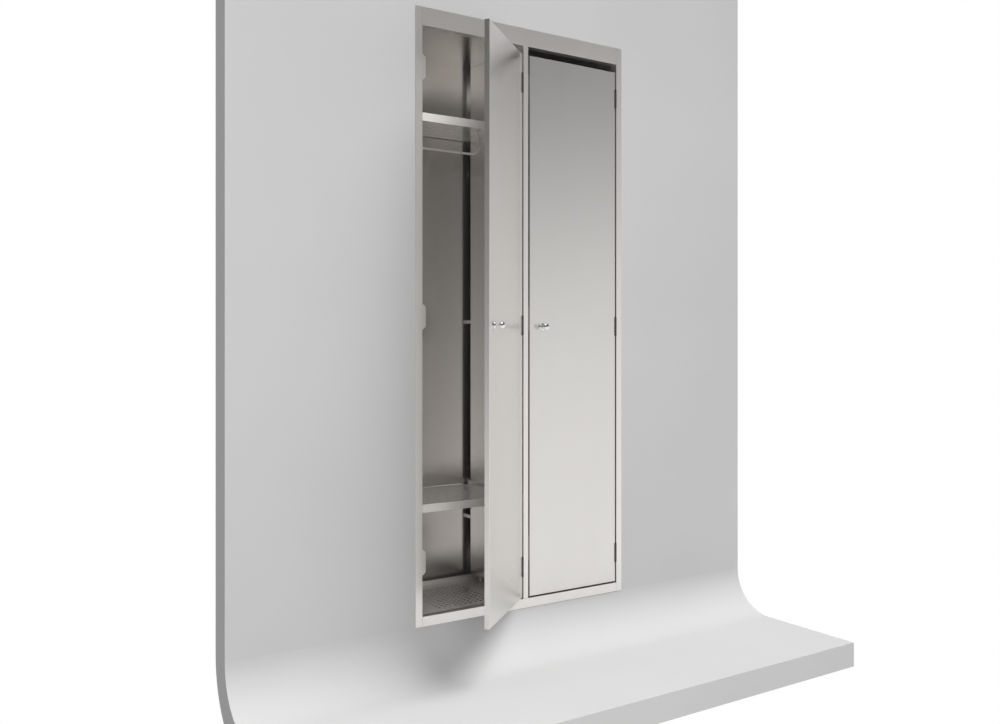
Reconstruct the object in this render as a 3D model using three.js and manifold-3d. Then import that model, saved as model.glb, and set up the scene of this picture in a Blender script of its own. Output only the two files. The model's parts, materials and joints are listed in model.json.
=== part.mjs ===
// Two-door wall-recessed locker in stainless steel sheet, in millimetres.
// +X runs to the right along the wall, +Y into the wall, +Z up.
// Everything is placed from the middle of the face frame's lower edge, on its front face.
// The last lines move the origin to the back of the bottom rail, where the frame meets the wall.

import * as THREE from 'three';
import { mergeVertices } from 'three/addons/utils/BufferGeometryUtils.js';
import Module from 'manifold-3d';

const wasm = await Module();
wasm.setup();

// Fit between pieces that touch
const GAP = 0.3;

// Face frame
const FRAME_WIDTH = 864;
const FRAME_HEIGHT = 2000;
const FRAME_SHEET = 2;
const SIDE_STILE = 25;
const CENTRE_STILE = 20;
const TOP_RAIL = 60;
const BOTTOM_RAIL = 32;
const JAMB_DEPTH = 30;
const FLANGE_CENTRE_HEIGHT = 8;

// Casing behind the wall
const CASING_SHEET = 1.2;
const CASING_FRONT = 6;
const CASING_DEPTH = 375;
const CASING_BASE = 14;
const BACK_FLANGE = 20;

// Partition between the two compartments
const PARTITION_REAR = 346;
const PARTITION_BASE = 54;
const SPACER_HEIGHTS = { lower: 261, middle: 993, upper: 1725 };
const SPACER_WIDTH = 12;
const SPACER_HEIGHT = 13;
const FOOT_WIDTH = 10;
const FOOT_SPAN = [278, 298];

// Shelves and floor
const SHELF_SHEET = 1.2;
const SHELF_FRONT = 46;
const SHELF_REAR = 361;
const SHELF_LIP = 27;
const SHELF_UPSTAND = 16;
const HAT_SHELF_TOP = 1671;
const LOWER_SHELF_TOP = 385;
const FLOOR_REAR = 350;

// Coat rail
const RAIL_RADIUS = 4;
const RAIL_DROP = 85;
const RAIL_INSET = 61;
const RAIL_BEND = 35;
const RAIL_DEPTH = 190;
const RAIL_SIDES = 10;
const RAIL_STEPS = 40;
const RAIL_FOOT_RADIUS = 8;
const RAIL_FOOT_SHEET = 3;

// Door stops and latch strikes
const TAB_REACH = 22;
const TAB_LENGTH = 82;
const TAB_CHAMFER = 9;
const TAB_SHEET = 2;
const TAB_FRONT = 17.5;
const TAB_FLANGE = 12;
const TAB_HEIGHTS = { lower_stop: 203, latch_strike: 1000, upper_stop: 1811 };

// Doors
const DOOR_DEPTH = 16;
const DOOR_SIDE_GAP = 6;
const DOOR_BASE = 37.5;
const DOOR_TOP = 1909.5;
const DOOR_SKIN = 1;
const DOOR_LINER = 0.8;
const LINER_FLANGE = 7;
const LEFT_DOOR_OPENING = THREE.MathUtils.degToRad(40);

// Hinges
const HINGE_HEIGHTS = { lower: 143, middle: 975, upper: 1812 };
const HINGE_LENGTH = 66;
const HINGE_INSET = 4.1;
const HINGE_PROUD = 0.8;
const KNUCKLE_RADIUS = 3.8;
const PIN_RADIUS = 1.4;
const PIN_HEAD = 1.2;
const LEAF_SHEET = 1.3;
const LEAF_START = 3.8;
const FRAME_LEAF_END = 26;
const DOOR_LEAF_END = 15.5;
const HINGE_SIDES = 16;

// Latches
const KNOB_FROM_EDGE = 52;
const KNOB_HEIGHT = 970;
const KNOB_PROJECTION = 35;
const ROSE_RADIUS = 13;
const ROSE_DEPTH = 6;
const NECK_RADIUS = 5;
const NECK_CLEARANCE = 0.6;
const HEAD_RADIUS = 12;
const SPINDLE_RADIUS = 3.5;
const SPINDLE_IN_KNOB = 14;
const SHOULDER_RADIUS = 6;
const SHOULDER_END = 20;
const CAM_SHEET = 2.5;
const CAM_LENGTH = 51;
const CAM_HUB_RADIUS = 9;
const CAM_TIP_RADIUS = 6.5;
const NUT_RADIUS = 6.5;
const NUT_DEPTH = 4;
const KNOB_SIDES = 24;

// Worked out from the sizes above
const OPENING_WIDTH = (FRAME_WIDTH - 2 * SIDE_STILE - CENTRE_STILE) / 2;
const OPENING_TOP = FRAME_HEIGHT - TOP_RAIL;
const FRAME_HALF = FRAME_WIDTH / 2;
const JAMB_X = FRAME_HALF - SIDE_STILE;
const PARTITION_HALF = CENTRE_STILE / 2;
const SIDE_INNER = JAMB_X + FRAME_SHEET + GAP;
const SIDE_OUTER = SIDE_INNER + CASING_SHEET;
const CASING_TOP = OPENING_TOP + FRAME_SHEET + GAP + CASING_SHEET;
const PANEL_REAR = CASING_DEPTH - GAP;
const INNER_FRONT = JAMB_DEPTH + GAP;
const CAM_FRONT = SHOULDER_END + GAP;
const CAM_BACK = CAM_FRONT + CAM_SHEET;

function steel(colour, roughness) {
  return new THREE.MeshStandardMaterial({ color: colour, roughness, metalness: 1 });
}

const frameSteel = steel(0xc4beb8, 0.42);
const casingSteel = steel(0x9a9590, 0.5);
const doorSteel = steel(0xc9c3bd, 0.4);
const shelfSteel = steel(0xb4aea8, 0.45);
const railSteel = steel(0xcfcac6, 0.22);
const hingeSteel = steel(0x3e3a37, 0.55);
const chrome = steel(0xe6e6e6, 0.08);
const zincSteel = steel(0xaeb0b0, 0.35);

// A closed three.js geometry as a solid that can be joined and cut
function solid(geometry) {
  const bare = geometry.clone();
  bare.deleteAttribute('normal');
  bare.deleteAttribute('uv');
  const merged = mergeVertices(bare, 1e-4);
  return new wasm.Manifold(new wasm.Mesh({
    numProp: 3,
    vertProperties: new Float32Array(merged.attributes.position.array),
    triVerts: new Uint32Array(merged.index.array),
  }));
}

function join(...solids) {
  return solids.reduce((whole, next) => whole.add(next));
}

function cut(whole, ...tools) {
  return tools.reduce((rest, tool) => rest.subtract(tool), whole);
}

// A box from its spans along X, Y and Z
function block(x, y, z) {
  const box = new THREE.BoxGeometry(x[1] - x[0], y[1] - y[0], z[1] - z[0]);
  box.translate((x[0] + x[1]) / 2, (y[0] + y[1]) / 2, (z[0] + z[1]) / 2);
  return solid(box);
}

// A folded tray: a box hollowed to the sheet's thickness and open on one side, such as '+y' or '-z'
function tray(x, y, z, sheet, openSide) {
  const inside = ([low, high]) => [low + sheet, high - sheet];
  const spans = { x: inside(x), y: inside(y), z: inside(z) };
  const axis = openSide[1];
  const end = openSide[0] === '+' ? 1 : 0;
  spans[axis][end] += (end ? 2 : -2) * sheet;
  return cut(block(x, y, z), block(spans.x, spans.y, spans.z));
}

// A round bar along Z
function bar(radius, from, to, sides) {
  const cylinder = new THREE.CylinderGeometry(radius, radius, to - from, sides);
  cylinder.rotateX(Math.PI / 2);
  cylinder.translate(0, 0, (from + to) / 2);
  return solid(cylinder);
}

// A turned piece about the Y axis, from [radius, y] points that start and end on the axis
function turned(points, sides) {
  return solid(new THREE.LatheGeometry(points.map(([r, y]) => new THREE.Vector2(r, y)), sides));
}

function part(group, name, shape, material) {
  const { vertProperties, triVerts } = shape.getMesh();
  const geometry = new THREE.BufferGeometry();
  geometry.setAttribute('position', new THREE.BufferAttribute(vertProperties, 3));
  geometry.setIndex(new THREE.BufferAttribute(triVerts, 1));
  geometry.computeVertexNormals();
  const mesh = new THREE.Mesh(geometry, material);
  mesh.name = name;
  group.add(mesh);
}

// Face frame: side stiles run the full height, rails fit between them, the centre stile between the rails

function sideStile(side) {
  const face = block([JAMB_X, FRAME_HALF], [0, FRAME_SHEET], [0, FRAME_HEIGHT]);
  const jambHeight = [BOTTOM_RAIL - FRAME_SHEET, OPENING_TOP + FRAME_SHEET];
  const jamb = block([JAMB_X, JAMB_X + FRAME_SHEET], [0, JAMB_DEPTH], jambHeight);
  const right = join(face, jamb);
  return side > 0 ? right : right.mirror([1, 0, 0]);
}

function centreStile() {
  const height = [BOTTOM_RAIL + GAP, OPENING_TOP - GAP];
  const outer = block([-PARTITION_HALF, PARTITION_HALF], [0, JAMB_DEPTH], height);
  const inner = PARTITION_HALF - FRAME_SHEET;
  return cut(outer, block([-inner, inner], [FRAME_SHEET, JAMB_DEPTH + 1], [0, FRAME_HEIGHT]));
}

function rail(faceHeight, jambHeight) {
  const across = [GAP - JAMB_X, JAMB_X - GAP];
  return join(block(across, [0, FRAME_SHEET], faceHeight), block(across, [0, JAMB_DEPTH], jambHeight));
}

function addFrame(group) {
  part(group, 'frame_left_stile', sideStile(-1), frameSteel);
  part(group, 'frame_right_stile', sideStile(1), frameSteel);
  part(group, 'frame_centre_stile', centreStile(), frameSteel);
  const topRail = rail([OPENING_TOP, FRAME_HEIGHT], [OPENING_TOP, OPENING_TOP + FRAME_SHEET]);
  part(group, 'frame_top_rail', topRail, frameSteel);
  const bottomRail = rail([0, BOTTOM_RAIL], [BOTTOM_RAIL - FRAME_SHEET, BOTTOM_RAIL]);
  part(group, 'frame_bottom_rail', bottomRail, frameSteel);
}

// Casing: two sides, a top and a bottom that lap the jambs behind the flange, inside a folded back

function addCasing(group) {
  const depth = [CASING_FRONT, PANEL_REAR];
  const height = [CASING_BASE, CASING_TOP];
  const across = [GAP - SIDE_INNER, SIDE_INNER - GAP];
  part(group, 'casing_left_side', block([-SIDE_OUTER, -SIDE_INNER], depth, height), casingSteel);
  part(group, 'casing_right_side', block([SIDE_INNER, SIDE_OUTER], depth, height), casingSteel);
  part(group, 'casing_top', block(across, depth, [CASING_TOP - CASING_SHEET, CASING_TOP]), casingSteel);
  part(group, 'casing_bottom', block(across, depth, [CASING_BASE, CASING_BASE + CASING_SHEET]), casingSteel);
  const lap = GAP + CASING_SHEET;
  const back = tray(
    [-SIDE_OUTER - lap, SIDE_OUTER + lap],
    [CASING_DEPTH - BACK_FLANGE, CASING_DEPTH + CASING_SHEET],
    [CASING_BASE - lap, CASING_TOP + lap],
    CASING_SHEET,
    '-y',
  );
  part(group, 'casing_back', back, casingSteel);
}

// Partition: two shallow trays face to face, held off the back by spacers and off the floor by a foot

function addPartition(group) {
  const depth = [INNER_FRONT, PARTITION_REAR];
  const height = [PARTITION_BASE, OPENING_TOP + FRAME_SHEET];
  const seam = GAP / 2;
  const left = tray([-PARTITION_HALF, -seam], depth, height, CASING_SHEET, '+x');
  const right = tray([seam, PARTITION_HALF], depth, height, CASING_SHEET, '-x');
  part(group, 'partition_left_skin', left, casingSteel);
  part(group, 'partition_right_skin', right, casingSteel);
  for (const [place, centre] of Object.entries(SPACER_HEIGHTS)) {
    const spacer = block(
      [-SPACER_WIDTH / 2, SPACER_WIDTH / 2],
      [PARTITION_REAR + GAP, PANEL_REAR],
      [centre - SPACER_HEIGHT / 2, centre + SPACER_HEIGHT / 2],
    );
    part(group, `partition_spacer_${place}`, spacer, shelfSteel);
  }
  const foot = block([-FOOT_WIDTH / 2, FOOT_WIDTH / 2], FOOT_SPAN, [BOTTOM_RAIL + GAP, PARTITION_BASE - GAP]);
  part(group, 'partition_foot', foot, shelfSteel);
}

// A shelf: deck, front lip folded down and side flanges folded up, with an air gap behind it
function shelf(x, top) {
  const depth = [SHELF_FRONT, SHELF_REAR];
  const deck = block(x, depth, [top - SHELF_SHEET, top]);
  const lip = block(x, [SHELF_FRONT, SHELF_FRONT + SHELF_SHEET], [top - SHELF_LIP, top]);
  const upstand = [top - SHELF_SHEET, top + SHELF_UPSTAND];
  const left = block([x[0], x[0] + SHELF_SHEET], depth, upstand);
  const right = block([x[1] - SHELF_SHEET, x[1]], depth, upstand);
  return join(deck, lip, left, right);
}

// A quarter turn from centre + start to centre + end
class Bend extends THREE.Curve {
  constructor(centre, start, end) {
    super();
    Object.assign(this, { centre, start, end });
  }

  getPoint(t) {
    const angle = t * Math.PI / 2;
    return this.centre.clone()
      .addScaledVector(this.start, Math.cos(angle))
      .addScaledVector(this.end, Math.sin(angle));
  }
}

// A bent rod that hangs from the hat shelf and runs across the compartment
function coatRail(openingLeft) {
  const left = openingLeft + RAIL_INSET;
  const right = openingLeft + OPENING_WIDTH - RAIL_INSET;
  const top = HAT_SHELF_TOP - SHELF_SHEET - GAP;
  const low = HAT_SHELF_TOP - RAIL_DROP;
  const at = (x, z) => new THREE.Vector3(x, RAIL_DEPTH, z);
  const down = new THREE.Vector3(0, 0, -RAIL_BEND);
  const sideways = new THREE.Vector3(RAIL_BEND, 0, 0);
  const path = new THREE.CurvePath();
  path.add(new THREE.LineCurve3(at(left, top), at(left, low + RAIL_BEND)));
  path.add(new Bend(at(left + RAIL_BEND, low + RAIL_BEND), sideways.clone().negate(), down));
  path.add(new THREE.LineCurve3(at(left + RAIL_BEND, low), at(right - RAIL_BEND, low)));
  path.add(new Bend(at(right - RAIL_BEND, low + RAIL_BEND), down, sideways));
  path.add(new THREE.LineCurve3(at(right, low + RAIL_BEND), at(right, top)));
  const section = new THREE.Shape();
  section.absarc(0, 0, RAIL_RADIUS, 0, 2 * Math.PI);
  const settings = { steps: RAIL_STEPS, extrudePath: path, curveSegments: RAIL_SIDES / 2 };
  const rod = solid(new THREE.ExtrudeGeometry(section, settings));
  const foot = bar(RAIL_FOOT_RADIUS, top - RAIL_FOOT_SHEET, top, HINGE_SIDES);
  return join(rod, foot.translate([left, RAIL_DEPTH, 0]), foot.translate([right, RAIL_DEPTH, 0]));
}

// A chamfered tab behind the door's free edge, on a flange that lies on the jamb
function doorTab(openingLeft, centre) {
  const half = TAB_LENGTH / 2;
  const outline = new THREE.Shape();
  outline.moveTo(0, -half);
  outline.lineTo(TAB_REACH - TAB_CHAMFER, -half);
  outline.lineTo(TAB_REACH, TAB_CHAMFER - half);
  outline.lineTo(TAB_REACH, half - TAB_CHAMFER);
  outline.lineTo(TAB_REACH - TAB_CHAMFER, half);
  outline.lineTo(0, half);
  const plate = new THREE.ExtrudeGeometry(outline, { depth: TAB_SHEET, bevelEnabled: false });
  plate.rotateX(Math.PI / 2);
  plate.translate(0, TAB_SHEET, 0);
  const flange = block([0, TAB_SHEET], [0, TAB_FLANGE], [-half, half]);
  return join(solid(plate), flange).translate([openingLeft + GAP, TAB_FRONT, centre]);
}

function addCompartment(group, side, openingLeft, wallSpan) {
  const shelfSpan = [wallSpan[0] + GAP, wallSpan[1] - GAP];
  part(group, `${side}_hat_shelf`, shelf(shelfSpan, HAT_SHELF_TOP), shelfSteel);
  part(group, `${side}_lower_shelf`, shelf(shelfSpan, LOWER_SHELF_TOP), shelfSteel);
  part(group, `${side}_coat_rail`, coatRail(openingLeft), railSteel);
  for (const [place, centre] of Object.entries(TAB_HEIGHTS)) {
    part(group, `${side}_${place}`, doorTab(openingLeft, centre), frameSteel);
  }
}

// A floor plate stands on folded edges, lifts out, and turns up at the rear to leave an air gap behind it
function addFloorPlate(group, side, x) {
  const depth = [INNER_FRONT, FLOOR_REAR];
  const height = [CASING_BASE + CASING_SHEET + GAP, BOTTOM_RAIL];
  const upstand = [BOTTOM_RAIL - SHELF_SHEET, BOTTOM_RAIL + SHELF_UPSTAND];
  const plate = join(
    tray(x, depth, height, SHELF_SHEET, '-z'),
    block(x, [FLOOR_REAR - SHELF_SHEET, FLOOR_REAR], upstand),
  );
  part(group, `${side}_floor_plate`, plate, shelfSteel);
}

// Door pieces are placed from the hinge axis, with the door shut and running towards -X

const HINGE_EDGE = HINGE_INSET - DOOR_SIDE_GAP;
const FREE_EDGE = HINGE_INSET - OPENING_WIDTH + DOOR_SIDE_GAP;
const KNOB_X = FREE_EDGE + KNOB_FROM_EDGE;
const DOOR_FACE = HINGE_PROUD;
const DOOR_BACK = DOOR_FACE + DOOR_DEPTH;
const ACROSS_DOOR = new THREE.Euler(Math.PI / 2, 0, 0);

// A hole for the latch spindle through the door's two skins
function spindleHole() {
  const hole = new THREE.CylinderGeometry(NECK_RADIUS, NECK_RADIUS, 2 * DOOR_BACK, KNOB_SIDES);
  hole.translate(KNOB_X, DOOR_FACE, KNOB_HEIGHT);
  return solid(hole);
}

function hingeNotch(centre) {
  const half = HINGE_LENGTH / 2 + 2 * PIN_HEAD;
  const reach = KNUCKLE_RADIUS + 0.5;
  return block([-reach, KNUCKLE_RADIUS], [-reach, reach], [centre - half, centre + half]);
}

function doorSkin() {
  const skin = tray([FREE_EDGE, HINGE_EDGE], [DOOR_FACE, DOOR_BACK], [DOOR_BASE, DOOR_TOP], DOOR_SKIN, '+y');
  return cut(skin, spindleHole(), ...Object.values(HINGE_HEIGHTS).map(hingeNotch));
}

function doorLiner() {
  const inset = DOOR_SKIN + GAP;
  const liner = tray(
    [FREE_EDGE + inset, HINGE_EDGE - inset],
    [DOOR_BACK - LINER_FLANGE, DOOR_BACK],
    [DOOR_BASE + inset, DOOR_TOP - inset],
    DOOR_LINER,
    '-y',
  );
  return cut(liner, spindleHole());
}

function knobRose() {
  const bore = NECK_RADIUS + NECK_CLEARANCE;
  const bevel = 2;
  const rear = DOOR_FACE - GAP;
  const front = rear - ROSE_DEPTH;
  const profile = [
    [bore, front],
    [ROSE_RADIUS - 2 * bevel, front],
    [ROSE_RADIUS - bevel / 2, front + bevel],
    [ROSE_RADIUS, rear],
    [bore, rear],
    [bore, front],
  ];
  return turned(profile, KNOB_SIDES).translate([KNOB_X, 0, KNOB_HEIGHT]);
}

function pinHole() {
  return bar(PIN_RADIUS + GAP, -HINGE_LENGTH, HINGE_LENGTH, HINGE_SIDES);
}

// One leaf of a hinge: a plate from leafStart back to leafEnd, and a tongue and knuckle at each given height
function hingeLeaf(plateX, leafEnd, knuckles) {
  const half = HINGE_LENGTH / 2;
  let leaf = block(plateX, [LEAF_START + HINGE_PROUD, leafEnd + HINGE_PROUD], [-half, half]);
  for (const height of knuckles) {
    const tongue = block(plateX, [0, LEAF_START + HINGE_PROUD], height);
    leaf = join(leaf, tongue, bar(KNUCKLE_RADIUS, height[0], height[1], HINGE_SIDES));
  }
  return cut(leaf, pinHole());
}

function frameLeaf() {
  const half = HINGE_LENGTH / 2;
  const third = HINGE_LENGTH / 3;
  const knuckles = [[-half, third - half - GAP], [half - third + GAP, half]];
  const plateX = [HINGE_INSET - GAP - LEAF_SHEET, HINGE_INSET - GAP];
  return hingeLeaf(plateX, FRAME_LEAF_END, knuckles);
}

function doorLeaf() {
  const sixth = HINGE_LENGTH / 6;
  const plateX = [HINGE_EDGE + GAP, HINGE_EDGE + GAP + LEAF_SHEET];
  return hingeLeaf(plateX, DOOR_LEAF_END, [[-sixth, sixth]]);
}

function hingePin() {
  const half = HINGE_LENGTH / 2 + GAP;
  const pin = bar(PIN_RADIUS, -half, half, HINGE_SIDES);
  const head = bar(KNUCKLE_RADIUS - GAP, half, half + PIN_HEAD, HINGE_SIDES);
  return join(pin, head, head.mirror([0, 0, 1]));
}

function addHinges(frameGroup, doorGroup, side) {
  for (const [place, centre] of Object.entries(HINGE_HEIGHTS)) {
    const name = `${side}_${place}_hinge`;
    part(frameGroup, `${name}_frame_leaf`, frameLeaf().translate([0, 0, centre]), hingeSteel);
    part(frameGroup, `${name}_pin`, hingePin().translate([0, 0, centre]), hingeSteel);
    part(doorGroup, `${name}_door_leaf`, doorLeaf().translate([0, 0, centre]), hingeSteel);
  }
}

// Latch pieces are placed from the point where the spindle's axis meets the door's outer face

function knob() {
  const bore = SPINDLE_RADIUS + GAP;
  const start = -2 * GAP;
  const headBack = -KNOB_PROJECTION + 13;
  const boreEnd = -SPINDLE_IN_KNOB - GAP;
  const profile = [[0, boreEnd], [bore, boreEnd], [bore, start], [NECK_RADIUS, start]];
  profile.push([NECK_RADIUS, headBack + 7], [NECK_RADIUS + 1.5, headBack + 3]);
  profile.push([HEAD_RADIUS - 2, headBack], [HEAD_RADIUS, headBack - 2.5]);
  const domeSteps = 6;
  const domeDepth = KNOB_PROJECTION + headBack - 4;
  for (let step = 0; step <= domeSteps; step += 1) {
    const angle = (step / domeSteps) * Math.PI / 2;
    const y = headBack - 4 - domeDepth * Math.sin(angle);
    profile.push([step === domeSteps ? 0 : HEAD_RADIUS * Math.cos(angle), y]);
  }
  return turned(profile.reverse(), KNOB_SIDES);
}

// The shaft with its shoulder behind the door and the nut that holds the cam
function spindle() {
  const alongY = (shape) => shape.rotate([-90, 0, 0]);
  const shaft = alongY(bar(SPINDLE_RADIUS, -SPINDLE_IN_KNOB, CAM_BACK + GAP + NUT_DEPTH, HINGE_SIDES));
  const shoulder = alongY(bar(SHOULDER_RADIUS, DOOR_DEPTH + GAP, SHOULDER_END, HINGE_SIDES));
  const nut = alongY(bar(NUT_RADIUS, CAM_BACK + GAP, CAM_BACK + GAP + NUT_DEPTH, 6));
  return join(shaft, shoulder, nut);
}

// A flat cam that points down when unlatched and lies behind the strike when turned a quarter turn
function cam() {
  const outline = new THREE.Shape();
  const tip = CAM_LENGTH - CAM_TIP_RADIUS;
  outline.absarc(0, 0, CAM_HUB_RADIUS, 0, Math.PI);
  outline.absarc(0, -tip, CAM_TIP_RADIUS, Math.PI, 2 * Math.PI);
  const hole = new THREE.Path();
  hole.absarc(0, 0, SPINDLE_RADIUS + GAP, 0, 2 * Math.PI, true);
  outline.holes.push(hole);
  const settings = { depth: CAM_SHEET, bevelEnabled: false, curveSegments: 6 };
  const plate = new THREE.ExtrudeGeometry(outline, settings);
  plate.rotateX(Math.PI / 2);
  return solid(plate).translate([0, CAM_BACK, 0]);
}

function addDoor(cabinet, side, openingLeft, opening) {
  const axis = new THREE.Group();
  axis.position.set(openingLeft + OPENING_WIDTH - HINGE_INSET, -HINGE_PROUD, 0);
  cabinet.add(axis);
  const door = new THREE.Group();
  door.rotation.z = opening;
  axis.add(door);
  addHinges(axis, door, side);
  part(door, `${side}_door_outer_skin`, doorSkin(), doorSteel);
  part(door, `${side}_door_inner_liner`, doorLiner(), doorSteel);
  part(door, `${side}_knob_rose`, knobRose(), chrome);
  const latch = new THREE.Group();
  latch.position.set(KNOB_X, DOOR_FACE, KNOB_HEIGHT);
  door.add(latch);
  part(latch, `${side}_knob`, knob(), chrome);
  part(latch, `${side}_latch_spindle`, spindle(), zincSteel);
  part(latch, `${side}_latch_cam`, cam(), zincSteel);
}

const locker = new THREE.Group();
const leftOpening = -JAMB_X;
const rightOpening = PARTITION_HALF;
addFrame(locker);
addCasing(locker);
addPartition(locker);
addCompartment(locker, 'left', leftOpening, [-SIDE_INNER, -PARTITION_HALF]);
addCompartment(locker, 'right', rightOpening, [PARTITION_HALF, SIDE_INNER]);
addFloorPlate(locker, 'left', [GAP - SIDE_INNER, -GAP / 2]);
addFloorPlate(locker, 'right', [GAP / 2, SIDE_INNER - GAP]);
addDoor(locker, 'left', leftOpening, LEFT_DOOR_OPENING);
addDoor(locker, 'right', rightOpening, 0);

// The origin is on the back of the bottom rail's flange, where it lies on the wall
locker.position.set(0, -FRAME_SHEET, -FLANGE_CENTRE_HEIGHT);

export default locker;
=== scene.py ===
"""Looks for the recessed two-door locker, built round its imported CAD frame.

Everything is in metres, in the frame's own axes: +X along the wall, +Y into the wall, +Z up.
Places come from the CAD nodes' boxes and from the joints, and sizes are named below.
"""

import json
import math

import bmesh
import bpy
from mathutils import Matrix, Vector


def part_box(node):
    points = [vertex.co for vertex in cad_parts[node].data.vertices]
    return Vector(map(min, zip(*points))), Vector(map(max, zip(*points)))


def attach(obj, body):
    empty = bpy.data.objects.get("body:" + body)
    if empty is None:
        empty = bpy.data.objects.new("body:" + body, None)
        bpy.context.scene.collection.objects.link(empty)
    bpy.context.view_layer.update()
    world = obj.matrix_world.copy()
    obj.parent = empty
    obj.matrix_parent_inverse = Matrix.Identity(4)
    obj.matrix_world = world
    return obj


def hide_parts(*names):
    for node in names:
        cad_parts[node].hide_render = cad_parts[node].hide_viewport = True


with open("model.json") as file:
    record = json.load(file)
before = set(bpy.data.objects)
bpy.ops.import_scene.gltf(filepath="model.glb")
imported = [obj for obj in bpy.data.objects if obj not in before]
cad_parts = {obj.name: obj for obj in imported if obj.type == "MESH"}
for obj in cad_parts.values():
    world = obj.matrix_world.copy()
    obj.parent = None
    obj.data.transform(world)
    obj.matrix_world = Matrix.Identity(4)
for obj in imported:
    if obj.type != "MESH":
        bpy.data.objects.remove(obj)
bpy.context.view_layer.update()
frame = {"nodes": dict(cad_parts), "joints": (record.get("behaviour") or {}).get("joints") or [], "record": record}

MM = 0.001
SIDES = ("left", "right")
PLACES = ("lower", "middle", "upper")
TINY = 0.01 * MM
SHARP_ANGLE = math.radians(32)

# Sheet metal
SHELF_SHEET = 1.2 * MM
SHELF_FOLD = 1.6 * MM
SHELF_LIP = 27 * MM
SHELF_UPSTAND = 16 * MM
DOOR_FOLD = 1.5 * MM
LEAF_EDGE = 0.2 * MM
SPINDLE_EDGE = 0.15 * MM
FINE_EDGE = 0.3 * MM
FRAME_EDGE = 0.55 * MM
HEAVY_EDGE = 1 * MM

# Perforations: a square grid of round holes
HOLE_SIDES = 12
FLOOR_HOLES = (11, 12)
FLOOR_PITCH = 20.5 * MM
FLOOR_HOLE = 5.8 * MM
FLOOR_FRONT_MARGIN = 25.5 * MM
SHELF_HOLES = (20, 15)
SHELF_PITCH = 19 * MM
SHELF_HOLE = 5.8 * MM

# Coat rail
RAIL_RADIUS = 4 * MM
RAIL_BEND = 35 * MM
RAIL_FOOT = 8 * MM
RAIL_FOOT_HEIGHT = 3 * MM
RAIL_SIDES = 24
BEND_STEPS = 12

# Hinges
KNUCKLE = 3.8 * MM
PIN = 1.4 * MM
PIN_HEAD = 1.2 * MM
LEAF = 1.3 * MM
HINGE_CLEARANCE = 0.3 * MM
LEAF_SCREW = 2.3 * MM
LEAF_SCREW_INSET = 8 * MM

# Knobs and latches. The shoulder's ends are measured outwards along the knob, from the plane of the hinges
ROSE_BORE = 5.6 * MM
ROSE_RIM = 1.6 * MM
KNOB_HEAD = 12 * MM
KNOB_NECK = 5 * MM
SPINDLE = 3.5 * MM
SHOULDER = 6 * MM
SHOULDER_FRONT = -17.1 * MM
SHOULDER_REAR = -20.8 * MM
NUT = 6.5 * MM
NUT_HEIGHT = 4 * MM
NUT_CHAMFER = 0.4 * MM

# Fixings
BACK_SCREW_HEIGHTS = (1.54, 0.432)
BACK_SCREW = 4.2 * MM
RIVET = 2.6 * MM

# The camera stands where the photographer's did
CAMERA_PLACE = (-1.931, -2.750, 0.915)
CAMERA_TURN = math.radians(-33.57)
CAMERA_LENS = 35
CAMERA_SHIFT = -0.0215

# The wall and floor: one bent sheet behind and below the locker
WALL_HALF_WIDTH = 1.05
WALL_TOP = 2.75
WALL_SHEET = 0.085
FLOOR_DROP = 0.167
FLOOR_REACH = 0.55
COVE_RADIUS = 0.16
CUT_OUT_MARGIN = 4 * MM
COVE_STEPS = 16

# The world's grey from straight below to overhead: shares of its height range, each with the level there
WORLD_STEPS = (
    (0.07, 0.46), (0.258, 0.413), (0.347, 0.31), (0.447, 0.122), (0.607, 0.034), (0.84, 0.034), (0.93, 1))
WORLD_STRENGTH = 2
WORLD_LEAN = -0.15

# The lamps: a wide sun and a panel in front
KEY_TOWARDS = (0.4, -0.32, 0.86)
KEY_STRENGTH = 3.7
KEY_ANGLE = math.radians(35)
FILL_PLACE = (-1.4, -4.2, 1.6)
FILL_TARGET = (-0.2, 0, 0.9)
FILL_SIZE = (2.4, 2.4)
FILL_POWER = 95


# Materials

def new_material(name):
    material = bpy.data.materials.new(name)
    material.use_nodes = True
    tree = material.node_tree
    return material, tree.nodes, tree.links, tree.nodes["Principled BSDF"]


def noise(nodes, links, scale, detail, stretch=(1, 1, 1)):
    """Noise in the object's own metres, stretched along the axes."""
    place = nodes.new("ShaderNodeTexCoord")
    mapping = nodes.new("ShaderNodeMapping")
    mapping.inputs["Scale"].default_value = stretch
    texture = nodes.new("ShaderNodeTexNoise")
    texture.inputs["Scale"].default_value = scale
    texture.inputs["Detail"].default_value = detail
    links.new(place.outputs["Object"], mapping.inputs["Vector"])
    links.new(mapping.outputs["Vector"], texture.inputs["Vector"])
    return texture.outputs["Fac"]


def spread(nodes, links, value, low, high, start=0.3, end=0.7):
    """A value from start to end, mapped to the range from low to high."""
    ranged = nodes.new("ShaderNodeMapRange")
    links.new(value, ranged.inputs["Value"])
    for name, number in (("From Min", start), ("From Max", end), ("To Min", low), ("To Max", high)):
        ranged.inputs[name].default_value = number
    return ranged.outputs["Result"]


def mixed(nodes, links, factor, first, second):
    """A colour between first and second."""
    mix = nodes.new("ShaderNodeMix")
    mix.data_type = "RGBA"
    links.new(factor, mix.inputs["Factor"])
    mix.inputs["A"].default_value = (*first, 1)
    mix.inputs["B"].default_value = (*second, 1)
    return mix.outputs["Result"]


def add(nodes, links, first, second, share):
    """first plus a share of second."""
    total = nodes.new("ShaderNodeMath")
    total.operation = "MULTIPLY_ADD"
    links.new(second, total.inputs[0])
    total.inputs[1].default_value = share
    links.new(first, total.inputs[2])
    return total.outputs["Value"]


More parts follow.
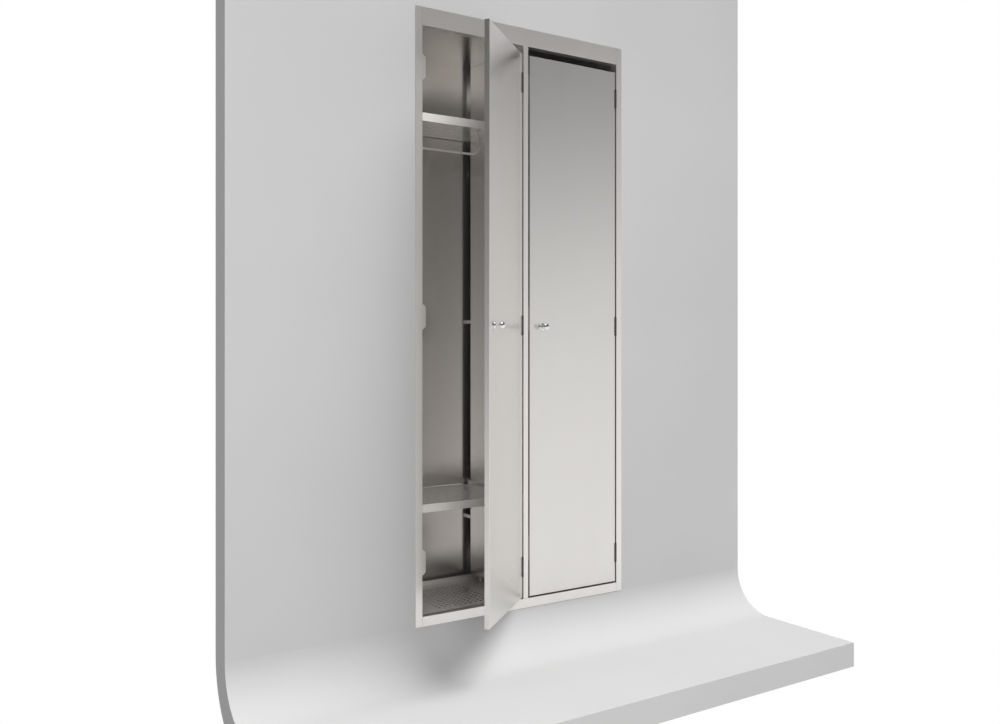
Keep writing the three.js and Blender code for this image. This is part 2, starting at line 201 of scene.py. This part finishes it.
def bump(nodes, links, shader, height, strength, distance):
    relief = nodes.new("ShaderNodeBump")
    relief.inputs["Strength"].default_value = strength
    relief.inputs["Distance"].default_value = distance
    links.new(height, relief.inputs["Height"])
    links.new(relief.outputs["Normal"], shader.inputs["Normal"])


def brushed_steel(name, dark, light, roughness, metallic, relief, grain=(2600, 2600, 25)):
    """Satin sheet with broad clouding and faint handling marks, its grain along Z unless told otherwise."""
    material, nodes, links, shader = new_material(name)
    fine = noise(nodes, links, 1, 3, grain)
    cloud = noise(nodes, links, 2.2, 4, (1, 1, 0.5))
    smear = noise(nodes, links, 11, 5, (1, 1, 0.35))
    tone = add(nodes, links, cloud, fine, 0.35)
    colour = mixed(nodes, links, spread(nodes, links, tone, 0, 1, 0.45, 0.9), dark, light)
    links.new(colour, shader.inputs["Base Color"])
    marks = add(nodes, links, smear, fine, 0.3)
    low, high = roughness
    links.new(spread(nodes, links, marks, low, high, 0.45, 0.85), shader.inputs["Roughness"])
    shader.inputs["Metallic"].default_value = metallic
    bump(nodes, links, shader, fine, relief, 0.0002)
    return material


def polished(name, dark, light, roughness):
    """Bright plated or polished metal with faint clouding and hairline marks."""
    material, nodes, links, shader = new_material(name)
    cloud = noise(nodes, links, 90, 4)
    hairline = noise(nodes, links, 1, 2, (400, 4000, 400))
    colour = mixed(nodes, links, spread(nodes, links, cloud, 0, 1), dark, light)
    links.new(colour, shader.inputs["Base Color"])
    low, high = roughness
    links.new(spread(nodes, links, hairline, low, high), shader.inputs["Roughness"])
    shader.inputs["Metallic"].default_value = 1
    bump(nodes, links, shader, hairline, 0.03, 0.0001)
    return material


def dark_hinge_steel():
    """Blackened steel, rubbed a little brighter in patches."""
    material, nodes, links, shader = new_material("hinge_steel")
    rubbed = noise(nodes, links, 240, 5)
    grit = noise(nodes, links, 2400, 2)
    share = spread(nodes, links, rubbed, 0, 1, 0.4, 0.75)
    colour = mixed(nodes, links, share, (0.09, 0.083, 0.078), (0.17, 0.158, 0.148))
    links.new(colour, shader.inputs["Base Color"])
    links.new(spread(nodes, links, rubbed, 0.55, 0.38), shader.inputs["Roughness"])
    shader.inputs["Metallic"].default_value = 0.8
    bump(nodes, links, shader, grit, 0.2, 0.0001)
    return material


def painted_wall():
    """Pale matt paint with a faint roller texture."""
    material, nodes, links, shader = new_material("stage_paint")
    roller = noise(nodes, links, 420, 3)
    cloud = noise(nodes, links, 1.5, 2)
    colour = mixed(nodes, links, spread(nodes, links, cloud, 0, 1), (0.4, 0.4, 0.4), (0.42, 0.42, 0.42))
    links.new(colour, shader.inputs["Base Color"])
    links.new(spread(nodes, links, roller, 0.75, 0.9), shader.inputs["Roughness"])
    bump(nodes, links, shader, roller, 0.06, 0.0003)
    return material


ACROSS = (25, 2600, 2600)
MATERIALS = {
    "frame_steel": brushed_steel(
        "frame_steel", (0.86, 0.83, 0.805), (0.89, 0.86, 0.835), (0.3, 0.35), 0.9, 0.004),
    "casing_steel": brushed_steel(
        "casing_steel", (0.79, 0.765, 0.74), (0.81, 0.785, 0.76), (0.22, 0.24), 0.93, 0),
    "door_steel": brushed_steel(
        "door_steel", (0.79, 0.77, 0.75), (0.81, 0.79, 0.77), (0.24, 0.27), 0.95, 0.004),
    "shelf_steel": brushed_steel(
        "shelf_steel", (0.83, 0.8, 0.775), (0.85, 0.82, 0.795), (0.2, 0.22), 0.35, 0, ACROSS),
    "rail_steel": brushed_steel(
        "rail_steel", (0.8, 0.77, 0.75), (0.85, 0.82, 0.8), (0.26, 0.34), 0.6, 0.01, ACROSS),
    "hinge_steel": dark_hinge_steel(),
    "chrome": polished("chrome", (0.8, 0.8, 0.81), (0.9, 0.9, 0.9), (0.03, 0.09)),
    "zinc_steel": polished("zinc_steel", (0.5, 0.52, 0.54), (0.66, 0.66, 0.64), (0.25, 0.4)),
}
SLOTS = {row["node"]: row["material_slot"] for row in frame["record"]["subparts"]}
BODIES = {node: body for body, nodes in frame["record"]["behaviour"]["bodies"].items() for node in nodes}


# Making pieces

def settle(obj):
    """Applies the modifiers, shades smooth between sharp edges, and lets large faces lead the normals."""
    depsgraph = bpy.context.evaluated_depsgraph_get()
    mesh = bpy.data.meshes.new_from_object(obj.evaluated_get(depsgraph))
    obj.modifiers.clear()
    obj.data = mesh
    mesh.polygons.foreach_set("use_smooth", [True] * len(mesh.polygons))
    mesh.set_sharp_from_angle(angle=SHARP_ANGLE)
    weighted = obj.modifiers.new("even_normals", "WEIGHTED_NORMAL")
    weighted.keep_sharp = True


def piece(name, bm, slot, body, *nodes, edge=0, sheet=0):
    """Turns a bmesh into a piece that rides on a body and stands for CAD nodes.

    sheet thickens an open surface on its rear side, and edge rounds its sharp edges.
    """
    mesh = bpy.data.meshes.new(name)
    bm.to_mesh(mesh)
    bm.free()
    obj = bpy.data.objects.new(name, mesh)
    bpy.context.scene.collection.objects.link(obj)
    mesh.materials.append(MATERIALS[slot])
    if sheet:
        solid = obj.modifiers.new("sheet", "SOLIDIFY")
        solid.thickness = sheet
        solid.offset = -1
        solid.use_even_offset = True
    if edge:
        bevel = obj.modifiers.new("edge", "BEVEL")
        bevel.width = edge
        bevel.segments = 2
        bevel.limit_method = "ANGLE"
        bevel.angle_limit = SHARP_ANGLE
    settle(obj)
    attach(obj, body)
    if nodes:
        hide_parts(*nodes)
    return obj


def add_block(bm, low, high, matrix=Matrix()):
    """A box between two corners, as one closed shell of the mesh."""
    low, high = Vector(low), Vector(high)
    shape = Matrix.Translation((low + high) / 2) @ Matrix.Diagonal((*(high - low), 1))
    bmesh.ops.create_cube(bm, size=1, matrix=matrix @ shape)


def add_turned(bm, profile, matrix=Matrix(), steps=40, ring=False):
    """A solid turned about the local Z axis from (radius, z) points. A ring's profile closes on itself."""
    turns = [2 * math.pi * step / steps for step in range(steps)]
    circles = []
    for radius, z in profile:
        if radius < TINY:
            circles.append([bm.verts.new(matrix @ Vector((0, 0, z)))] * steps)
            continue
        points = [Vector((radius * math.cos(a), radius * math.sin(a), z)) for a in turns]
        circles.append([bm.verts.new(matrix @ point) for point in points])
    pairs = list(zip(circles, circles[1:]))
    if ring:
        pairs.append((circles[-1], circles[0]))
    for lower, upper in pairs:
        for step in range(steps):
            after = (step + 1) % steps
            corners = dict.fromkeys((lower[step], lower[after], upper[after], upper[step]))
            bm.faces.new(corners)


def rounded(profile, radius, steps=4):
    """The profile with its inner corners rounded off."""
    points = [Vector(p) for p in profile]
    result = [points[0]]
    for before, corner, after in zip(points, points[1:], points[2:]):
        reach = min(radius, (before - corner).length / 2, (after - corner).length / 2)
        start = corner + (before - corner).normalized() * reach
        end = corner + (after - corner).normalized() * reach
        for step in range(steps + 1):
            t = step / steps
            result.append((1 - t) ** 2 * start + 2 * t * (1 - t) * corner + t ** 2 * end)
    return [(p.x, p.y) for p in result + [points[-1]]]


def cad_copy(node):
    """The CAD node's mesh with its flat facets joined, ready for rounding."""
    bm = bmesh.new()
    bm.from_mesh(frame["nodes"][node].data)
    bmesh.ops.remove_doubles(bm, verts=bm.verts, dist=TINY)
    bmesh.ops.dissolve_limit(bm, angle_limit=math.radians(0.5), verts=bm.verts, edges=bm.edges)
    return bm


def rolled_sheet(node, edge):
    """Folded sheet has no knife edges: the CAD shape, rounded a little."""
    piece(f"{node}_finished", cad_copy(node), SLOTS[node], BODIES[node], node, edge=edge)


# Perforated sheets

class Deck:
    """A flat sheet with a field of round holes, whose edges can be folded."""

    def __init__(self, x, y, z, counts, pitch, radius, first_row=None):
        self.bm = bmesh.new()
        self.known = {}
        self.x, self.y, self.z = x, y, z
        middle = sum(x) / 2
        start_x = middle - counts[0] * pitch / 2
        start_y = (y[0] + y[1] - counts[1] * pitch) / 2 if first_row is None else first_row - pitch / 2
        for column in range(counts[0]):
            for row in range(counts[1]):
                self.cell(start_x + (column + 0.5) * pitch, start_y + (row + 0.5) * pitch, pitch, radius)
        self.margins(self.breaks(start_x, counts[0], pitch), self.breaks(start_y, counts[1], pitch))

    def vert(self, x, y):
        key = (round(x / TINY), round(y / TINY))
        if key not in self.known:
            self.known[key] = self.bm.verts.new((x, y, self.z))
        return self.known[key]

    def cell(self, x, y, pitch, radius):
        """A square with a round hole: the hole's corners and the square's pair up."""
        inner, outer = [], []
        for side in range(HOLE_SIDES):
            angle = 2 * math.pi * (side + 0.5) / HOLE_SIDES
            across, along = math.cos(angle), math.sin(angle)
            reach = pitch / 2 / max(abs(across), abs(along))
            inner.append(self.vert(x + radius * across, y + radius * along))
            outer.append(self.vert(x + reach * across, y + reach * along))
        for side in range(HOLE_SIDES):
            after = (side + 1) % HOLE_SIDES
            self.bm.faces.new((outer[side], outer[after], inner[after], inner[side]))

    @staticmethod
    def breaks(start, count, pitch):
        """Where the cells' outer corners lie along one edge of the field."""
        near = math.tan(math.pi / HOLE_SIDES) * pitch / 2
        middles = [start + (index + 0.5) * pitch for index in range(count)]
        return [m + offset for m in middles for offset in (-pitch / 2, -near, near)] + [start + count * pitch]

    def margins(self, across, along):
        columns = [self.x[0], *across, self.x[1]]
        rows = [self.y[0], *along, self.y[1]]
        last_column, last_row = len(columns) - 2, len(rows) - 2
        for i in range(last_column + 1):
            for j in range(last_row + 1):
                if 0 < i < last_column and 0 < j < last_row:
                    continue
                left, right, front, rear = columns[i], columns[i + 1], rows[j], rows[j + 1]
                corners = ((left, front), (right, front), (right, rear), (left, rear))
                self.bm.faces.new([self.vert(*corner) for corner in corners])

    def fold(self, axis, place, height):
        """Folds the sheet's edge at a place along x (0) or y (1), by a height up or down."""
        edges = [e for e in self.bm.edges if e.is_boundary and self.on_edge(e, axis, place)]
        made = bmesh.ops.extrude_edge_only(self.bm, edges=edges)["geom"]
        verts = [v for v in made if isinstance(v, bmesh.types.BMVert)]
        bmesh.ops.translate(self.bm, verts=verts, vec=(0, 0, height))
        return edges

    def on_edge(self, edge, axis, place):
        return all(abs(v.co[axis] - place) < TINY and abs(v.co.z - self.z) < TINY for v in edge.verts)

    def finished(self, folds):
        """Rounds the folds and turns every face the same way as the deck's top."""
        bmesh.ops.bevel(self.bm, geom=folds, offset=SHELF_FOLD, segments=3, profile=0.5, affect="EDGES")
        bmesh.ops.recalc_face_normals(self.bm, faces=self.bm.faces)
        decks = [f for f in self.bm.faces if abs(f.normal.z) > 0.99]
        if sum(f.normal.z for f in decks) < 0:
            bmesh.ops.reverse_faces(self.bm, faces=self.bm.faces)
        return self.bm


def perforated_shelf(node):
    """Deck with a lip folded down in front and flanges folded up at the sides."""
    low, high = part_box(node)
    x = (low.x + SHELF_SHEET, high.x - SHELF_SHEET)
    deck = Deck(x, (low.y, high.y), high.z - SHELF_UPSTAND, SHELF_HOLES, SHELF_PITCH, SHELF_HOLE)
    folds = deck.fold(1, low.y, -SHELF_LIP)
    folds += deck.fold(0, x[0], SHELF_UPSTAND)
    folds += deck.fold(0, x[1], SHELF_UPSTAND)
    piece(f"{node}_perforated", deck.finished(folds), "shelf_steel", "cabinet", node, sheet=SHELF_SHEET)
    return x, (low.y, high.y), high.z


def perforated_floor(node):
    """Floor plate on folded edges, turned up at the rear."""
    low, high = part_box(node)
    top = high.z - SHELF_UPSTAND
    y = (low.y, high.y - SHELF_SHEET)
    first_row = low.y + FLOOR_FRONT_MARGIN + FLOOR_PITCH / 2
    deck = Deck((low.x, high.x), y, top, FLOOR_HOLES, FLOOR_PITCH, FLOOR_HOLE, first_row)
    folds = deck.fold(1, y[0], low.z - top)
    folds += deck.fold(0, low.x, low.z - top)
    folds += deck.fold(0, high.x, low.z - top)
    folds += deck.fold(1, y[1], SHELF_UPSTAND)
    piece(f"{node}_perforated", deck.finished(folds), "shelf_steel", "cabinet", node, sheet=SHELF_SHEET)


def flange_rivets(name, x, y, top):
    """Dome rivets that hold the shelf's side flanges to the walls."""
    bm = bmesh.new()
    height = top - SHELF_UPSTAND / 2
    for wall, direction in ((x[0], 1), (x[1], -1)):
        for share in (0.18, 0.82):
            place = Vector((wall, y[0] + share * (y[1] - y[0]), height))
            turn = Matrix.Rotation(direction * math.pi / 2, 4, "Y")
            dome = rounded([(RIVET, 0), (RIVET, 0.5 * MM), (RIVET * 0.7, 1.1 * MM), (0, 1.3 * MM)], 0.4 * MM)
            add_turned(bm, [(0, -0.2 * MM), *dome], Matrix.Translation(place) @ turn, 20)
    piece(name, bm, "zinc_steel", "cabinet")


# Coat rail

def coat_rail(node):
    """A rod bent down from the hat shelf at both ends, with a small round foot on each."""
    low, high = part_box(node)
    y = (low.y + high.y) / 2
    left, right = low.x + RAIL_FOOT, high.x - RAIL_FOOT
    bottom, top = low.z + RAIL_RADIUS, high.z
    path = [(Vector((left, y, top)), Vector((0, 0, -1)))]
    bends = ((left + RAIL_BEND, math.pi), (right - RAIL_BEND, 1.5 * math.pi))
    for centre, start in bends:
        for step in range(BEND_STEPS + 1):
            angle = start + step / BEND_STEPS * math.pi / 2
            reach, rise = math.cos(angle), math.sin(angle)
            place = Vector((centre + RAIL_BEND * reach, y, bottom + RAIL_BEND * (1 + rise)))
            path.append((place, Vector((-rise, 0, reach))))
    path.append((Vector((right, y, top)), Vector((0, 0, 1))))
    bm = bmesh.new()
    turns = [2 * math.pi * side / RAIL_SIDES for side in range(RAIL_SIDES)]
    rings = []
    for place, along in path:
        outward = Vector((along.z, 0, -along.x))
        spokes = [math.cos(a) * outward + math.sin(a) * Vector((0, 1, 0)) for a in turns]
        rings.append([bm.verts.new(place + RAIL_RADIUS * spoke) for spoke in spokes])
    for before, after in zip(rings, rings[1:]):
        for side in range(RAIL_SIDES):
            beside = (side + 1) % RAIL_SIDES
            bm.faces.new((before[side], before[beside], after[beside], after[side]))
    bm.faces.new(rings[0])
    bm.faces.new(rings[-1])
    profile = [(RAIL_FOOT, 0), (RAIL_FOOT, -RAIL_FOOT_HEIGHT * 0.6), (RAIL_RADIUS, -RAIL_FOOT_HEIGHT)]
    foot = [(0, 0), *rounded(profile, 0.8 * MM), (0, -RAIL_FOOT_HEIGHT)]
    for x in (left, right):
        add_turned(bm, foot, Matrix.Translation((x, y, top)), RAIL_SIDES)
    bmesh.ops.recalc_face_normals(bm, faces=bm.faces)
    piece(f"{node}_rod", bm, "rail_steel", "cabinet", node)


# Hinges

def knuckle(bm, axis, low, high):
    """One barrel of a hinge, bored for the pin."""
    bore = PIN + HINGE_CLEARANCE
    soft = 0.35 * MM
    profile = [(bore, low), (KNUCKLE - soft, low), (KNUCKLE, low + soft)]
    profile += [(KNUCKLE, high - soft), (KNUCKLE - soft, high), (bore, high)]
    add_turned(bm, profile, Matrix.Translation(axis), 32, ring=True)


def leaf_screw(bm, place, normal_x):
    """A countersunk screw head, slightly proud and dished in the middle."""
    turn = Matrix.Translation(place) @ Matrix.Rotation(normal_x * math.pi / 2, 4, "Y")
    profile = [(LEAF_SCREW, 0), (LEAF_SCREW * 0.9, 0.12 * MM), (LEAF_SCREW * 0.35, 0.2 * MM)]
    head = rounded(profile, 0.1 * MM)
    add_turned(bm, [(0, -0.1 * MM), *head, (LEAF_SCREW * 0.3, 0.02 * MM), (0, 0)], turn, 24)


def hinge(side, place, to_row):
    """Three pieces: the leaf on the frame, the leaf on the door and the pin.

    The barrels are drawn about the Z axis and moved to the hinge's place; to_row turns the door's leaf.
    """
    name = f"{side}_{place}_hinge"
    low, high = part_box(f"{name}_frame_leaf")
    pin_low, pin_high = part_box(f"{name}_pin")
    axis = (pin_low + pin_high) / 2
    third = (high.z - low.z) / 3
    frame_side = bmesh.new()
    inner = high.x - LEAF
    for start in (low.z, high.z - third + HINGE_CLEARANCE):
        end = start + third - HINGE_CLEARANCE
        knuckle(frame_side, Vector((axis.x, axis.y, 0)), start, end)
        add_block(frame_side, (inner, axis.y + PIN, start), (high.x, axis.y + 2 * KNUCKLE, end))
    add_block(frame_side, (inner, axis.y + KNUCKLE + 0.4 * MM, low.z), high)
    for height in (0.18, 0.5, 0.82):
        spot = Vector((inner, high.y - LEAF_SCREW_INSET, low.z + height * (high.z - low.z)))
        leaf_screw(frame_side, spot, -1)
    leaf = f"{name}_frame_leaf"
    piece(f"{leaf}_turned", frame_side, "hinge_steel", "cabinet", leaf, edge=LEAF_EDGE)

    pin = bmesh.new()
    head = KNUCKLE - HINGE_CLEARANCE
    shaft = [(0, pin_low.z), (head, pin_low.z), (head, pin_low.z + PIN_HEAD), (PIN, pin_low.z + PIN_HEAD)]
    shaft += [(PIN, pin_high.z - PIN_HEAD), (head, pin_high.z - PIN_HEAD)]
    shaft += [(head, pin_high.z), (0, pin_high.z)]
    add_turned(pin, rounded(shaft, 0.3 * MM, 2), Matrix.Translation((axis.x, axis.y, 0)), 28)
    piece(f"{name}_pin_turned", pin, "hinge_steel", "cabinet", f"{name}_pin")

    door_leaf = f"{name}_door_leaf"
    local = in_door(door_leaf, to_row)
    plate_low, plate_high = corners_of(v.co for v in local.verts if v.co.y > KNUCKLE + TINY)
    local.free()
    sixth = (plate_high.z - plate_low.z) / 6
    middle = (plate_low.z + plate_high.z) / 2
    door_side = bmesh.new()
    knuckle(door_side, Vector((0, 0, 0)), middle - sixth, middle + sixth)
    arm_low = (plate_low.x, PIN, middle - sixth)
    add_block(door_side, arm_low, (plate_high.x, plate_low.y + 1 * MM, middle + sixth))
    add_block(door_side, plate_low, plate_high)
    bmesh.ops.transform(door_side, matrix=to_row, verts=door_side.verts)
    piece(f"{door_leaf}_turned", door_side, "hinge_steel", f"{side}_door", door_leaf, edge=LEAF_EDGE)


# Doors and latches

def door_to_row(side):
    """From a door's own axes, shut with its hinge axis at X 0 and Y 0, to where it stands at rest."""
    joint = next(j for j in frame["joints"] if j["name"] == f"{side}_door_swing")
    x, y, _ = joint["pos_m"]
    return Matrix.Translation((x, y, 0)) @ Matrix.Rotation(math.radians(-joint["range_deg"][0]), 4, "Z")


def in_door(node, to_row):
    """A CAD node's copy in its door's own axes."""
    bm = cad_copy(node)
    bmesh.ops.transform(bm, matrix=to_row.inverted(), verts=bm.verts)
    return bm


def corners_of(points):
    """The low and high corners of the box round some points."""
    points = list(points)
    low = Vector([min(p[axis] for p in points) for axis in range(3)])
    high = Vector([max(p[axis] for p in points) for axis in range(3)])
    return low, high


def door_box(node, to_row):
    """A CAD node's box in its door's own axes."""
    bm = in_door(node, to_row)
    low, high = corners_of(v.co for v in bm.verts)
    bm.free()
    return low, high


def door_skin(side, to_row):
    """The door's outer sheet, with the four edges round its face rolled."""
    node = f"{side}_door_outer_skin"
    bm = in_door(node, to_row)
    low, high = corners_of(v.co for v in bm.verts)
    sides = ((0, low.x), (0, high.x), (2, low.z), (2, high.z))

    def on_rim(edge):
        a, b = (v.co for v in edge.verts)
        if max(a.y, b.y) > low.y + TINY:
            return False
        return any(abs(a[axis] - at) < TINY and abs(b[axis] - at) < TINY for axis, at in sides)

    rim = [e for e in bm.edges if on_rim(e)]
    roll = {"offset": DOOR_FOLD, "segments": 4, "profile": 0.5}
    bmesh.ops.bevel(bm, geom=rim, affect="EDGES", clamp_overlap=True, **roll)
    bmesh.ops.transform(bm, matrix=to_row, verts=bm.verts)
    piece(f"{node}_rolled", bm, "door_steel", f"{side}_door", node)


def about_y(place):
    """Lays a piece turned about Z along the Y axis, with its Z running out of the door's face."""
    return Matrix.Translation(place) @ Matrix.Rotation(math.pi / 2, 4, "X")


def latch(side, to_row):
    """The knob and its rose in front of the door, and the spindle, nut and cam behind it."""
    low, high = door_box(f"{side}_knob", to_row)
    tip = -low.y
    matrix = to_row @ about_y(((low.x + high.x) / 2, 0, (low.z + high.z) / 2))
    low, high = door_box(f"{side}_knob_rose", to_row)
    back, front = -high.y, -low.y
    radius = (high.x - low.x) / 2

    rose = bmesh.new()
    profile = [(ROSE_BORE, back), (radius, back), (radius, back + ROSE_RIM)]
    profile += [(radius - 1.4 * MM, front - 1 * MM), (radius - 5 * MM, front), (ROSE_BORE, front)]
    add_turned(rose, rounded(profile, 0.9 * MM, 5), matrix, 64, ring=True)
    piece(f"{side}_knob_rose_turned", rose, "chrome", f"{side}_door", f"{side}_knob_rose")

    knob = bmesh.new()
    base = back + 0.3 * MM
    crown = 8.5 * MM
    profile = [(0, base), (KNOB_NECK, base), (KNOB_NECK, tip - 20 * MM)]
    profile += [(KNOB_NECK + 1.5 * MM, tip - 16 * MM), (KNOB_HEAD - 2 * MM, tip - 13 * MM)]
    profile += [(KNOB_HEAD, tip - 10.5 * MM), (KNOB_HEAD, tip - crown)]
    for turn in (0.35, 0.7, 1.05, 1.35):
        profile.append((KNOB_HEAD * math.cos(turn), tip - crown * (1 - math.sin(turn))))
    add_turned(knob, rounded(profile + [(0, tip)], 1.4 * MM, 4), matrix, 64)
    piece(f"{side}_knob_turned", knob, "chrome", f"{side}_latch", f"{side}_knob")

    node = f"{side}_latch_spindle"
    spindle = bmesh.new()
    rear = -door_box(node, to_row)[1].y
    shaft = [(0, base), (SPINDLE, base), (SPINDLE, SHOULDER_FRONT), (SHOULDER, SHOULDER_FRONT)]
    shaft += [(SHOULDER, SHOULDER_REAR), (SPINDLE, SHOULDER_REAR), (SPINDLE, rear), (0, rear)]
    add_turned(spindle, rounded(shaft, 0.3 * MM, 2), matrix, 32)
    nut_end = rear + NUT_HEIGHT
    nut = [(0, rear), (NUT - NUT_CHAMFER, rear), (NUT, rear + 0.5 * MM), (NUT, nut_end - 0.5 * MM)]
    add_turned(spindle, [*nut, (NUT - NUT_CHAMFER, nut_end), (0, nut_end)], matrix, 6)
    piece(f"{node}_turned", spindle, "zinc_steel", f"{side}_latch", node, edge=SPINDLE_EDGE)
    rolled_sheet(f"{side}_latch_cam", FINE_EDGE)


# Fixings on the back panel

def back_screws():
    """Two pan-head screws in the gap behind the partition, each dished in the middle."""
    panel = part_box("casing_back")[1].y - SHELF_SHEET
    profile = [(BACK_SCREW, 0), (BACK_SCREW, 1 * MM), (BACK_SCREW * 0.6, 2.2 * MM), (0.9 * MM, 2.4 * MM)]
    head = [(0, -0.2 * MM), *rounded(profile, 0.6 * MM), (0.7 * MM, 1.6 * MM), (0, 1.5 * MM)]
    bm = bmesh.new()
    for height in BACK_SCREW_HEIGHTS:
        add_turned(bm, head, about_y((0, panel, height)), 32)
    piece("back_panel_screws", bm, "chrome", "cabinet")


# The stage

def stage_piece(name, bm):
    mesh = bpy.data.meshes.new(name)
    bmesh.ops.recalc_face_normals(bm, faces=bm.faces)
    bm.to_mesh(mesh)
    bm.free()
    mesh.polygons.foreach_set("use_smooth", [True] * len(mesh.polygons))
    mesh.set_sharp_from_angle(angle=SHARP_ANGLE)
    mesh.materials.append(painted_wall())
    obj = bpy.data.objects.new(name, mesh)
    bpy.context.scene.collection.objects.link(obj)


def wall_and_floor():
    """One sheet bent from wall to floor, with a cut-out in the wall where the casing goes in."""
    low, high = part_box("casing_back")
    hole = (low.x - CUT_OUT_MARGIN, high.x + CUT_OUT_MARGIN, low.z - CUT_OUT_MARGIN, high.z + CUT_OUT_MARGIN)
    bm = bmesh.new()
    rear = WALL_SHEET
    bottom = -FLOOR_DROP
    cove_top = bottom + COVE_RADIUS
    spans = (
        (-WALL_HALF_WIDTH, hole[0], cove_top, WALL_TOP),
        (hole[1], WALL_HALF_WIDTH, cove_top, WALL_TOP),
        (hole[0], hole[1], cove_top, hole[2]),
        (hole[0], hole[1], hole[3], WALL_TOP),
    )
    for left, right, base, top in spans:
        add_block(bm, (left, 0, base), (right, rear, top))
    outline = []
    for step in range(COVE_STEPS + 1):
        angle = step / COVE_STEPS * math.pi / 2
        outline.append((-COVE_RADIUS * (1 - math.cos(angle)), cove_top - COVE_RADIUS * math.sin(angle)))
    outline.append((-FLOOR_REACH, bottom))
    outline.append((-FLOOR_REACH, bottom - WALL_SHEET))
    outer = COVE_RADIUS + WALL_SHEET
    for step in range(COVE_STEPS + 1):
        angle = (1 - step / COVE_STEPS) * math.pi / 2
        outline.append((rear - outer * (1 - math.cos(angle)), cove_top - outer * math.sin(angle)))
    ends = [[bm.verts.new((x, y, z)) for y, z in outline] for x in (-WALL_HALF_WIDTH, WALL_HALF_WIDTH)]
    for index in range(len(outline)):
        after = (index + 1) % len(outline)
        bm.faces.new((ends[0][index], ends[0][after], ends[1][after], ends[1][index]))
    bm.faces.new(ends[0])
    bm.faces.new(ends[1])
    stage_piece("wall_and_floor", bm)


def area_light(name, place, target, size, power):
    """A soft panel lamp, kept out of reflections."""
    light = bpy.data.lights.new(name, "AREA")
    light.shape = "RECTANGLE"
    light.size, light.size_y = size
    light.energy = power
    obj = bpy.data.objects.new(name, light)
    obj.location = place
    obj.rotation_euler = (Vector(target) - Vector(place)).to_track_quat("-Z", "Y").to_euler()
    obj.visible_glossy = False
    bpy.context.scene.collection.objects.link(obj)


def soft_sun(towards, strength):
    """An even, very soft light from one direction, kept out of reflections."""
    light = bpy.data.lights.new("key", "SUN")
    light.angle = KEY_ANGLE
    light.energy = strength
    obj = bpy.data.objects.new("key", light)
    obj.rotation_euler = Vector(towards).to_track_quat("Z", "Y").to_euler()
    obj.visible_glossy = False
    bpy.context.scene.collection.objects.link(obj)


def studio_light():
    """A soft grey world and two lamps. The camera sees plain white behind the stage.

    The world darkens upwards, is a little brighter on the right, and has a bright patch overhead.
    """
    world = bpy.data.worlds.new("studio")
    bpy.context.scene.world = world
    world.use_nodes = True
    nodes, links = world.node_tree.nodes, world.node_tree.links
    place = nodes.new("ShaderNodeTexCoord")
    split = nodes.new("ShaderNodeSeparateXYZ")
    links.new(place.outputs["Generated"], split.inputs["Vector"])
    ramp = nodes.new("ShaderNodeValToRGB")
    height = add(nodes, links, split.outputs["Z"], split.outputs["X"], WORLD_LEAN)
    links.new(spread(nodes, links, height, 0, 1, -0.5, 1), ramp.inputs["Fac"])
    for index, (at, level) in enumerate(WORLD_STEPS):
        element = ramp.color_ramp.elements[index] if index < 2 else ramp.color_ramp.elements.new(at)
        element.position = at
        element.color = (level, level, level, 1)
    links.new(ramp.outputs["Color"], nodes["Background"].inputs["Color"])
    nodes["Background"].inputs["Strength"].default_value = WORLD_STRENGTH
    backdrop = nodes.new("ShaderNodeBackground")
    backdrop.inputs["Color"].default_value = (1, 1, 1, 1)
    path = nodes.new("ShaderNodeLightPath")
    choose = nodes.new("ShaderNodeMixShader")
    links.new(path.outputs["Is Camera Ray"], choose.inputs["Fac"])
    links.new(nodes["Background"].outputs["Background"], choose.inputs[1])
    links.new(backdrop.outputs["Background"], choose.inputs[2])
    links.new(choose.outputs["Shader"], nodes["World Output"].inputs["Surface"])
    soft_sun(KEY_TOWARDS, KEY_STRENGTH)
    area_light("fill", FILL_PLACE, FILL_TARGET, FILL_SIZE, FILL_POWER)


def camera():
    data = bpy.data.cameras.new("camera")
    data.lens = CAMERA_LENS
    data.shift_y = CAMERA_SHIFT
    obj = bpy.data.objects.new("camera", data)
    obj.location = CAMERA_PLACE
    obj.rotation_euler = (math.pi / 2, 0, CAMERA_TURN)
    bpy.context.scene.collection.objects.link(obj)
    bpy.context.scene.camera = obj
    bpy.context.scene.view_settings.view_transform = "Standard"


def locker():
    edges = {"frame_steel": FRAME_EDGE, "casing_steel": FINE_EDGE, "shelf_steel": HEAVY_EDGE}
    panels, tabs = ("frame_", "casing_", "partition_"), ("_stop", "_strike")
    for node in [n for n in SLOTS if n.startswith(panels) or n.endswith(tabs)]:
        rolled_sheet(node, edges[SLOTS[node]])
    for side in SIDES:
        for place in ("hat_shelf", "lower_shelf"):
            x, y, top = perforated_shelf(f"{side}_{place}")
            flange_rivets(f"{side}_{place}_rivets", x, y, top)
        perforated_floor(f"{side}_floor_plate")
        coat_rail(f"{side}_coat_rail")
        to_row = door_to_row(side)
        door_skin(side, to_row)
        rolled_sheet(f"{side}_door_inner_liner", FINE_EDGE)
        for place in PLACES:
            hinge(side, place, to_row)
        latch(side, to_row)
    back_screws()


camera()
locker()
wall_and_floor()
studio_light()
